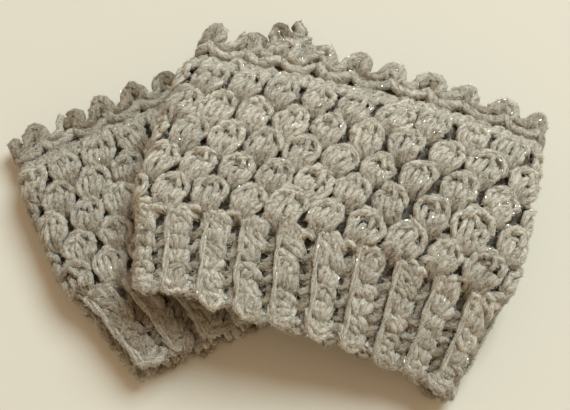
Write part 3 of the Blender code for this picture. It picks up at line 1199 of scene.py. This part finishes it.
@dataclass
class RibBand(CuffPiece):
    """The ribbed band at the hem, with a thin cord up each rib and stacked post stitches.

    Args:
        cord_across: Where the cords stand, in stitches beside the ribs' middle.
        cord_pitch: The length of one turn of a cord, in mm.
        cord_sway: How far its two strands go to each side, in stitches.
        cord_depth: How deep it lies, in mm.
        cord_radius: Half the thickness of its strands, in mm.
        rib_tone: What is added to the tone of the ribs' stitches.
        wander: How far a strand up a rib wanders to a side, in stitches.
        wander_length: How long its wanders are, in mm for each radian.
        sway_depth: How deep a strand goes round its partner for each stitch of sway, in mm.
        ripple: How much a strand up a rib goes in and out in mm, and ripple_length over which length.
    """

    section: Section = Section.RIB_BAND
    flat: tuple[float, float] = (GRID.round * 0.9, GRID.band_height)
    bottom: float = 2.4 * MM
    top: float = GRID.band_height - GRID.seam_gap / 2
    cord_across: float = -0.31
    cord_pitch: float = 26.0
    cord_sway: float = 0.042
    cord_depth: float = 1.5
    cord_radius: float = 0.70
    rib_tone: float = -0.5
    wander: float = 0.016
    wander_length: float = 3.1
    sway_depth: float = 8.0
    ripple: float = 0.22
    ripple_length: float = 6.0
    fuzz: Fibres = Fibres(density=7.6)

    def upright_run(
        self,
        mesh: YarnMesh,
        across: float,
        depth: float,
        radius: float,
        turns: float = 0.0,
        sway: float = 0.02,
        points: int = 26,
        top: float = 35.4,
        tones: float | None = None,
    ) -> None:
        """Adds one strand up each rib, over the whole height of the band.

        Args:
            mesh: The mesh that gets the strands.
            across: Where they stand, in stitches beside the rib's middle.
            depth: Their depth in mm.
            radius: Half their thickness in mm.
            turns: Where the strand starts on its way round its partner, in turns.
            sway: How far it goes to each side round its partner, in stitches.
            points: How many points it has.
            top: The height of its upper end, in mm.
            tones: The strands' tone, or None for random ones.
        """
        height = np.linspace(0.8, top, points)
        stitch = np.arange(GRID.stitches)[:, None]
        start = 2 * np.pi * (turns + np.random.default_rng(self.seed).uniform(0, 1, (GRID.stitches, 1)))
        angle = 2 * np.pi * height / self.cord_pitch + start
        wander = self.wander * np.sin(height / self.wander_length + 2.0 * stitch)
        ripple = self.ripple * np.sin(2 * np.pi * height / self.ripple_length)
        heights = height * MM + 0 * angle
        places = stitch + across + wander + sway * np.cos(angle) + GRID.rib_phase(heights)
        depths = (depth + self.sway_depth * sway * np.sin(angle) + ripple) * MM
        paths = self.lay.place(places, heights, depths)
        shades = None if tones is None else np.full(GRID.stitches, tones)
        mesh.add(paths, radius * MM, self.lay.outwards(places, heights, depths), shades)

    def upright_stitch(self) -> list[Strand]:
        """The strands of one stacked stitch of a rib, nearly upright."""
        curves = [
            ((a - 0.02, 6.3 + r, 3.8 + e), (a - 0.01, 4.9 + r, 2.1 + e),
             (a + 0.02, 2.6 + r, 1.7 + e), (a + 0.03, 0.2 + r, 3.7 + e))
            for a, r, e in ((-0.20, 0.2, 0.6), (-0.07, 0.5, 0.0), (0.07, 0.1, 0.0), (0.19, -0.4, 0.6))
        ]
        return strands(*curves, radius=1.75)

    def slanted_stitch(self) -> list[Strand]:
        """The strands of one stacked stitch of a rib, running down to the right."""
        return [
            *strands(
                ((-0.06, 6.2, 3.3), (0.09, 5.4, 2.1), (0.22, 4.2, 2.2), (0.30, 2.6, 3.8)),
                ((-0.26, 5.6, 3.4), (-0.14, 4.8, 2.0), (-0.02, 3.8, 1.9)),
                radius=1.75,
            ),
            *strands(((-0.05, 4.4, 2.2), (0.10, 2.9, 1.7), (0.25, 1.2, 3.6)), radius=1.8),
            *strands(
                ((-0.28, 3.2, 3.4), (-0.16, 2.1, 2.0), (0.00, 0.9, 2.1), (0.12, -0.4, 3.6)), radius=1.75
            ),
        ]

    def looped_stitch(self) -> list[Strand]:
        """The strands of one stacked stitch of a rib, curled into a loop."""
        return strands(
            ((-0.22, 0.0, 3.7), (-0.24, 2.6, 2.2), (-0.18, 4.6, 2.0)),
            ((-0.20, 4.0, 2.4), (-0.06, 5.6, 1.8), (0.10, 5.5, 2.0)),
            ((0.06, 5.6, 2.2), (0.21, 4.2, 2.1), (0.22, 1.4, 3.4)),
            ((-0.09, -0.4, 3.4), (-0.06, 1.6, 1.9), (-0.03, 3.4, 2.1)),
            ((0.06, -0.6, 3.4), (0.07, 1.3, 1.9), (0.09, 3.0, 2.1)),
            radius=1.75,
        )

    def fanned_stitch(self) -> list[Strand]:
        """The strands of one stacked stitch of a rib, spread like a fan."""
        left = ((-0.05, 0.1, 3.6), (-0.16, 2.2, 2.1), (-0.24, 4.6, 2.4), (-0.27, 6.2, 3.7))
        middle = (
            ((-0.02, -0.1, 3.4), (-0.07, 2.6, 1.8), (-0.10, 5.0, 2.0), (-0.10, 6.6, 3.6)),
            ((0.03, -0.1, 3.4), (0.06, 2.6, 1.8), (0.06, 5.0, 2.0), (0.04, 6.5, 3.6)),
        )
        right = ((0.07, 0.2, 3.6), (0.18, 2.0, 2.1), (0.23, 4.4, 2.4), (0.22, 6.0, 3.8))
        return strands(left, radius=1.7) + strands(*middle, radius=1.75) + strands(right, radius=1.7)

    def furrow(self) -> list[Strand]:
        """The strands that cross the furrow, low between two ribs, darkened by their tones as painted
        shade.
        """
        over = ((0.24, 0.2, 4.6), (0.36, 0.6, 3.8), (0.50, 1.8, 3.6), (0.64, 4.0, 4.0))
        deep = ((0.41, 3.2, 5.0), (0.52, 4.2, 4.5), (0.66, 5.8, 4.5))
        return strands(over, radius=1.6, tone=-0.6) + strands(deep, radius=1.35, tone=-0.7)

    def eyelet(self) -> list[Strand]:
        """The strands on both sides of the eyelet at the top of a furrow."""
        sides = (
            ((0.22, 27.0, 3.9), (0.27, 29.4, 3.0), (0.27, 32.4, 2.8), (0.22, 36.4, 3.4)),
            ((0.70, 27.4, 3.9), (0.69, 30.0, 3.2), (0.69, 33.0, 3.2), (0.71, 36.0, 3.6)),
        )
        over = ((0.18, 36.4, 3.2), (0.32, 37.7, 2.1), (0.48, 38.2, 1.9), (0.64, 37.2, 3.0))
        behind = ((0.26, 39.0, 3.8), (0.44, 40.2, 3.0), (0.60, 39.4, 3.6))
        # The strand behind gets a darker tone: painted shade, as it lies deeper.
        arches = strands(over, radius=1.5) + strands(behind, radius=1.4, tone=-0.4)
        return strands(*sides, radius=1.2) + arches

    def top_chain(self) -> list[Strand]:
        """The chain that ends the band between two clusters, and the strands under it."""
        over = [
            ((a - 0.13, u - 0.9, 3.6), (a, u, 2.0), (a + 0.14, u - 0.6, 3.4))
            for a, u in ((-0.20, 0.2), (0.06, 1.0), (0.24, -1.2))
        ]
        under = [
            ((a, 0.4 + u, 3.0), (a + 0.01, -2.4 + u, 1.8), (a + 0.03, -5.0 + u, 3.3))
            for a, u in ((-0.18, -0.8), (-0.01, 0.4), (0.17, -0.9))
        ]
        return strands(*over, *under, radius=1.5)

    def hem(self) -> list[Strand]:
        """The loops round the lower edge."""
        loops = [
            ((-0.36, 5.6 + d, 3.0), (-0.32, 2.8 + d, 2.1), (-0.17, 0.9 + d, 1.7 + e),
             (0.05, 0.7 + d, 1.7 + e), (0.24, 1.9 + d, 2.2 + e), (0.30, 4.4 + d, 3.4))
            for d, e in ((0.0, 0.4), (2.4, 0.0))
        ]
        wraps = [
            ((-0.36 + 0.25 * k, 2.6, 2.4), (-0.38 + 0.25 * k, 1.1 + h, 3.4),
             (-0.34 + 0.25 * k, 1.3 + h, 5.4), (-0.32 + 0.25 * k, 3.0, 7.0))
            for k, h in ((0, 0.7), (1, 0.1), (2, 0.3), (3, 1.6))
        ]
        return strands(*loops, *wraps, radius=1.35)

    def work(self, mesh: YarnMesh) -> None:
        """Adds the band's strands.

        Args:
            mesh: The mesh that gets them.
        """
        ribs = np.arange(GRID.stitches, dtype=float)
        step = GRID.band_height / GRID.rib_rows
        uneven = Unevenness(turn=math.radians(9.0), up=0.45, across=0.024, depth=0.28, size=0.08)
        for turns in (0.0, 0.5):
            cord = (self.cord_across, self.cord_depth, self.cord_radius)
            self.upright_run(mesh, *cord, turns, self.cord_sway)
        for across in (-0.12, 0.12):
            self.upright_run(mesh, across, 4.2, 1.8, points=14)
        # Painted shade: the strand deep in the furrow gets a dark tone.
        self.upright_run(mesh, 0.54, 5.0, 1.6, points=14, top=27.0, tones=-0.65)
        rows = grid_places(ribs, np.arange(GRID.rib_rows) * step)
        kind = mesh.rng.choice(4, len(rows), p=(0.25, 0.35, 0.15, 0.25))
        for stitch, at in (
            (self.upright_stitch(), rows[kind == 0]),
            (self.slanted_stitch(), rows[kind == 1]),
            (self.looped_stitch(), rows[kind == 2]),
            (self.fanned_stitch(), rows[kind == 3]),
            (self.furrow(), rows[: -GRID.stitches]),
        ):
            shaded = [replace(strand, tone=strand.tone + self.rib_tone) for strand in stitch]
            work_stitches(mesh, self.lay, shaded, at, uneven, (0.0, 3.0), slanted=True)
        hem = grid_places(ribs, np.array([0.0]))
        top = grid_places(ribs, np.array([GRID.band_height]))
        for stitch, at, edge_uneven in (
            (self.eyelet(), hem, Unevenness(turn=0.0)),
            (self.hem(), hem, Unevenness(up=0.5, depth=0.3, across=0.03)),
            (self.top_chain(), top, uneven),
        ):
            work_stitches(mesh, self.lay, stitch, at, edge_uneven, slanted=True)


class ClusterKind(Enum):
    """How open a cluster is; the values are the heights of its middle strands, in mm."""

    TWO_EYELETS = (3.0, 2.0, 1.2)
    ONE_EYELET = (4.4, 3.8, 1.4)
    CLOSED = (4.6, 4.2, 3.2)


@dataclass
class ClusterBody(CuffPiece):
    """The body, in rows of cluster stitches that stand between those of the row below.

    Args:
        dome_top: How deep the middle of a cluster lies, in mm.
        dome_depth: How much deeper its edges lie, in mm.
        dome_width: Half its width, in stitches.
        foot_reach: How far it reaches down from its middle, and top_reach up, in mm.
        spread: How wide the fan of strands is.
        lean: How far strands lean to the right, in stitches for each mm.
        kind_shares: How many clusters are of each kind.
    """

    dome_top: float = 1.2
    dome_depth: float = 3.7
    dome_width: float = 0.57
    foot_reach: float = 9.0
    top_reach: float = 11.5
    spread: float = 1.03
    lean: float = 0.007
    kind_shares: tuple[float, float, float] = (0.4, 0.35, 0.25)

    def dome(self, across: float, up: float) -> float:
        """Depth of a strand on a cluster's dome.

        Args:
            across: Stitches from the cluster's middle.
            up: Millimetres above its middle.
        Returns:
            The depth below the crests, in mm.
        """
        reach = self.foot_reach if up < 1.0 else self.top_reach
        inside = 1 - (across / self.dome_width) ** 2 - ((up - 1.0) / reach) ** 2
        return self.dome_top + self.dome_depth * (1 - math.sqrt(max(0.0, inside)))

    def strand(
        self,
        *points: tuple[float, float],
        dives: tuple[float, float] = (0.6, 0.9),
        radius: float = 1.45,
        sunk: float = 0.0,
        ends: tuple[float, float] = (0.8, 0.8),
        tone: float = 0.0,
    ) -> Strand:
        """A strand on the dome, leaning a little to the right.

        Args:
            points: Its control points, in stitches across and mm up.
            dives: How far its two ends are pushed in, in mm.
            radius: Half its thickness in mm.
            sunk: How far it lies below the dome, in mm.
            ends: The thickness at its ends, as shares.
            tone: What is added to its tone.
        Returns:
            The strand.
        """
        on = [[self.spread * a + self.lean * u, u, self.dome(a, u) + sunk] for a, u in points]
        on[0][2] += dives[0]
        on[-1][2] += dives[1]
        return Strand(tuple(tuple(p) for p in on), radius, ends, tone)

    def cluster(self, kind: ClusterKind) -> list[Strand]:
        """The strands of one cluster: a fan from its foot, closed by arches.

        Args:
            kind: How open it is.
        Returns:
            The strands.
        """
        strand = self.strand
        # Painted shade: the feet, the two sunk strands behind the eyelets and the link between clusters
        # get tones below 0, as they lie deep.
        foot = {"ends": (0.8, 0.9), "tone": -0.7, "radius": 1.45}
        tops = kind.value
        link = ((0.20, -6.2, 4.2), (0.36, -5.6, 3.6), (0.56, -5.4, 3.6), (0.74, -6.2, 4.4))
        return [
            strand((-0.19, -7.4), (-0.25, -4.6), (-0.31, -1.6), dives=(0.9, 0.7), **foot),
            strand((-0.29, -3.0), (-0.36, 0.2), (-0.345, 3.2), dives=(0.8, 0.5)),
            strand((-0.37, 1.6), (-0.33, 4.0), (-0.22, 5.8), dives=(0.5, 0.8), radius=1.4),
            strand((-0.26, 4.6), (-0.14, 6.5), (0.00, 6.7), dives=(0.7, 1.2), radius=1.4),
            strand((-0.09, -8.0), (-0.14, -4.6), (-0.20, -1.8), sunk=0.3, **foot),
            strand((-0.22, -3.4), (-0.215, -0.4), (-0.17, tops[0]), sunk=0.1),
            strand((-0.01, -8.2), (-0.03, -4.6), (-0.06, -2.0), sunk=0.1, **foot),
            strand((-0.08, -3.6), (-0.06, -0.6), (-0.02, tops[1]), sunk=-0.1),
            strand((0.03, -8.2), (0.06, -4.8), (0.09, -2.2), sunk=0.2, **foot),
            strand((0.07, -3.4), (0.09, -0.8), (0.14, tops[2]), sunk=0.1),
            strand((0.14, -7.8), (0.19, -4.8), (0.24, -1.8), sunk=0.1, **foot),
            strand((0.21, -3.0), (0.24, -0.8), (0.24, 1.6), sunk=0.1),
            strand((-0.10, 4.6), (0.00, 6.3), (0.13, 6.8), dives=(1.2, 0.6), radius=1.4),
            strand((0.06, 6.8), (0.20, 6.6), (0.32, 5.2), dives=(0.7, 0.7), radius=1.4),
            strand((0.19, 5.8), (0.33, 4.7), (0.385, 2.2), (0.37, 0.2), dives=(0.8, 0.5), radius=1.4),
            strand((0.37, 1.6), (0.34, -0.9), (0.25, -3.2), (0.15, -5.2), dives=(0.7, 1.4), radius=1.3),
            strand((-0.24, 5.0), (-0.13, 7.2), (0.01, 7.7), dives=(1.3, 1.0), radius=1.35),
            strand((-0.04, 7.8), (0.10, 7.6), (0.20, 6.4), dives=(0.9, 1.4), radius=1.35),
            strand((0.05, 6.4), (0.10, 3.8), (0.10, 1.2), dives=(0.5, 0.9), radius=1.25),
            strand((-0.28, 2.6), (-0.04, 3.8), (0.16, 3.6), (0.32, 2.2), sunk=2.3, radius=1.4, tone=-0.8),
            strand((-0.26, -0.4), (0.0, 0.8), (0.28, -0.4), sunk=2.6, radius=1.4, tone=-0.8),
            Strand(link, radius=1.2, tone=-0.6),
        ]

    def work(self, mesh: YarnMesh) -> None:
        """Adds the rows of clusters.

        Args:
            mesh: The mesh that gets them.
        """
        uneven = Unevenness(up=0.50, across=0.028, depth=0.36, turn=math.radians(6.0), size=0.05)
        for row in range(GRID.cluster_rows):
            stitches = np.arange(GRID.stitches) + GRID.row_phase(row)
            height = GRID.band_height + (row + 0.5) * GRID.cluster_height
            places = grid_places(stitches, np.array([height]))
            kinds = mesh.rng.choice(len(ClusterKind), len(places), p=self.kind_shares)
            for number, kind in enumerate(ClusterKind):
                work_stitches(mesh, self.lay, self.cluster(kind), places[kinds == number], uneven)


@dataclass
class PicotEdging(CuffPiece):
    """The edging: a row of small bumps, a wavy chain and a picot over each stitch."""

    section: Section = Section.PICOT_EDGING
    flat: tuple[float, float] = (GRID.round, GRID.edging_height)
    bottom: float = GRID.edging_start + GRID.seam_gap / 2
    top: float = GRID.height - 4.0 * MM
    ground_depth: float = 4.9 * MM
    ground_columns: int = 160

    def upper_edge(self, stitch: Array) -> Array:
        """Height of the ground's upper edge, a little below the picots' tops."""
        return self.top - GRID.picot_height * (1 - GRID.picot_rise(stitch))

    def bump(self) -> list[Strand]:
        """One small bump of the first row."""
        return [
            *strands(
                ((-0.17, -0.6, 3.6), (-0.14, 2.6, 2.0), (-0.04, 5.6, 1.5),
                 (0.09, 5.6, 1.7), (0.16, 2.4, 3.0)),
                ((-0.06, -0.6, 3.2), (-0.02, 1.8, 1.9), (0.03, 4.0, 2.0)),
                radius=1.35,
            ),
            *strands(((-0.19, 6.2, 3.2), (-0.02, 6.9, 2.4), (0.18, 6.1, 3.1)), radius=1.3, tone=-0.3),
        ]

    def link(self) -> list[Strand]:
        """The thick wavy chain from one picot to the next, and the loop that climbs to the next one."""
        lower = ((0.00, 14.2, 3.6), (0.11, 12.0, 1.8), (0.28, 10.1, 1.2), (0.50, 9.5, 1.3),
                 (0.72, 10.2, 1.6), (0.90, 12.0, 2.6), (1.00, 13.4, 4.4))
        between = ((0.10, 14.2, 4.2), (0.30, 12.4, 3.8), (0.52, 12.0, 3.7), (0.74, 13.2, 4.0))
        upper = ((0.26, 15.0, 3.4), (0.42, 13.5, 2.0), (0.59, 13.8, 1.5),
                 (0.71, 16.2, 1.4), (0.77, 19.0, 1.6), (0.92, 20.9, 2.2))
        return [
            Strand(lower, radius=2.35, tone=-0.35),
            # Painted shade: the strand between lies deep and gets a dark tone.
            Strand(between, radius=1.5, tone=-1.1),
            Strand(upper, radius=2.2, tone=-0.5),
        ]

    def picot(self) -> list[Strand]:
        """One picot: a solid knob of thick loops with a dark dimple; the darker tones of its strands,
        most of all the middle one in the dimple, are painted shade.
        """
        right = ((-0.12, 20.2, 2.8), (0.04, 21.7, 1.8), (0.20, 20.6, 1.4),
                 (0.29, 17.9, 1.5), (0.24, 15.2, 2.6), (0.12, 14.0, 4.0))
        left = ((-0.20, 14.4, 2.8), (-0.17, 16.6, 1.9), (-0.07, 18.6, 1.7), (0.06, 19.2, 2.2))
        middle = ((-0.02, 18.2, 2.9), (0.09, 17.4, 2.6), (0.12, 15.6, 2.8), (0.04, 13.6, 3.8))
        shapes = (left, middle, right)
        behind = [tuple((a * 0.95, u - 0.3, d + 2.8) for a, u, d in points) for points in shapes]
        return [
            Strand(right, radius=2.3, tone=-0.5),
            Strand(left, radius=2.1, tone=-0.7),
            Strand(middle, radius=2.0, tone=-1.0),
            *strands(*behind, radius=2.0, tone=-0.5),
        ]

    def work(self, mesh: YarnMesh) -> None:
        """Adds the bumps, the chain and the picots.

        Args:
            mesh: The mesh that gets them.
        """
        turn = math.radians(7.0)
        uneven = Unevenness(0.022, 0.4, 0.25, turn, size=0.06, shift_across=0.02)
        foot = GRID.edging_start / MM
        for up in (1.4, 4.2, 6.8):
            self.strand_around(mesh, foot + up, 3.7)
        self.strand_around(mesh, foot + 12.4, 4.3)
        start = np.array([GRID.edging_start])
        thirds = np.arange(3 * GRID.stitches) / 3
        work_stitches(mesh, self.lay, self.bump(), grid_places(thirds, start), uneven)
        picots = np.arange(GRID.stitches) + GRID.picot_phase
        chain = Unevenness(0.02, 0.35, 0.3, turn=0.0, size=0.03, shift_across=0.01)
        work_stitches(mesh, self.lay, self.link(), grid_places(picots, start), chain, (0.4, 12.0))
        work_stitches(mesh, self.lay, self.picot(), grid_places(picots, start), uneven, (0.0, 14.0))


@dataclass(frozen=True)
class Studio:
    """The camera, the floor and the light.

    Args:
        target: What the camera looks at.
        distance: How far it is from that.
        elevation: Its angle above the floor.
        lens: Its focal length, in mm on a 36 mm sensor.
        floor: The floor's finish, and floor_size its length and width.
        key_place: Where the soft light is, with its size, power and colour.
        ambient: The colour of the light from all around, with its strength.
    """

    target: Point = (4.18 * MM, -4.88 * MM, 8.0 * MM)
    distance: float = 363.76 * MM
    elevation: float = math.radians(67.0)
    lens: float = 55.58
    floor: PlainFinish = PlainFinish((0.80, 0.765, 0.66), 0.9)
    floor_size: float = 4.0
    key_place: Point = (1.10, 1.20, 2.15)
    key_size: float = 1.6
    key_power: float = 61.0
    key_colour: Colour = (0.80, 0.95, 1.0)
    ambient: Colour = (1.0, 0.74, 0.50)
    ambient_strength: float = 0.46

    def build_camera(self) -> None:
        """Adds the camera at the photo's place."""
        camera = bpy.data.objects.new("camera", bpy.data.cameras.new("camera"))
        bpy.context.scene.collection.objects.link(camera)
        camera.data.sensor_fit = "HORIZONTAL"
        camera.data.sensor_width = 36.0
        camera.data.lens = self.lens
        camera.data.clip_start = 0.01
        back = np.array([0.0, -math.cos(self.elevation), math.sin(self.elevation)])
        camera.location = np.array(self.target) + back * self.distance
        camera.rotation_euler = (math.pi / 2 - self.elevation, 0.0, 0.0)
        bpy.context.scene.camera = camera

    def build_floor(self) -> None:
        """Adds the plain pale floor."""
        half = self.floor_size / 2
        corners = np.array([(-half, -half, 0), (half, -half, 0), (half, half, 0), (-half, half, 0)])
        floor = mesh_piece("floor", corners, [np.array([[0, 1, 2, 3]])], self.floor.material("floor"))

    def build_light(self) -> None:
        """Adds a soft light from above on the right, and warm light from all around."""
        lamp = bpy.data.lights.new("key", "AREA")
        lamp.shape = "DISK"
        lamp.size = self.key_size
        lamp.energy = self.key_power
        lamp.color = self.key_colour
        key = bpy.data.objects.new("key", lamp)
        bpy.context.scene.collection.objects.link(key)
        key.location = self.key_place
        away = np.array(self.key_place)
        flat = math.hypot(away[0], away[1])
        key.rotation_euler = (0.0, math.atan2(flat, away[2]), math.atan2(away[1], away[0]))
        world = bpy.data.worlds.new("world")
        world.use_nodes = True
        light = world.node_tree.nodes["Background"]
        light.inputs["Color"].default_value = (*self.ambient, 1.0)
        light.inputs["Strength"].default_value = self.ambient_strength
        bpy.context.scene.world = world

    def build(self) -> None:
        """Adds everything of the studio."""
        self.build_camera()
        self.build_floor()
        self.build_light()
        bpy.context.scene.view_settings.view_transform = "Standard"


def main() -> None:
    """Builds both cuffs and the studio."""
    logging.basicConfig(level=logging.INFO, format="%(message)s")
    materials = Materials(
        yarn=YarnFinish().material("yarn"),
        fibre=FibreFinish().material("loose_fibre"),
        silver=PlainFinish((0.92, 0.91, 0.90), 0.22, 1.0).material("silver_thread"),
        ground=ShadeFinish().material("yarn_shade"),
    )
    for number, lay in enumerate((BACK, FRONT)):
        for order, kind in enumerate((RibBand, ClusterBody, PicotEdging)):
            kind(lay=lay, materials=materials, seed=100 + 10 * number + order).build()
    Studio().build()


if __name__ == "__main__":
    main()
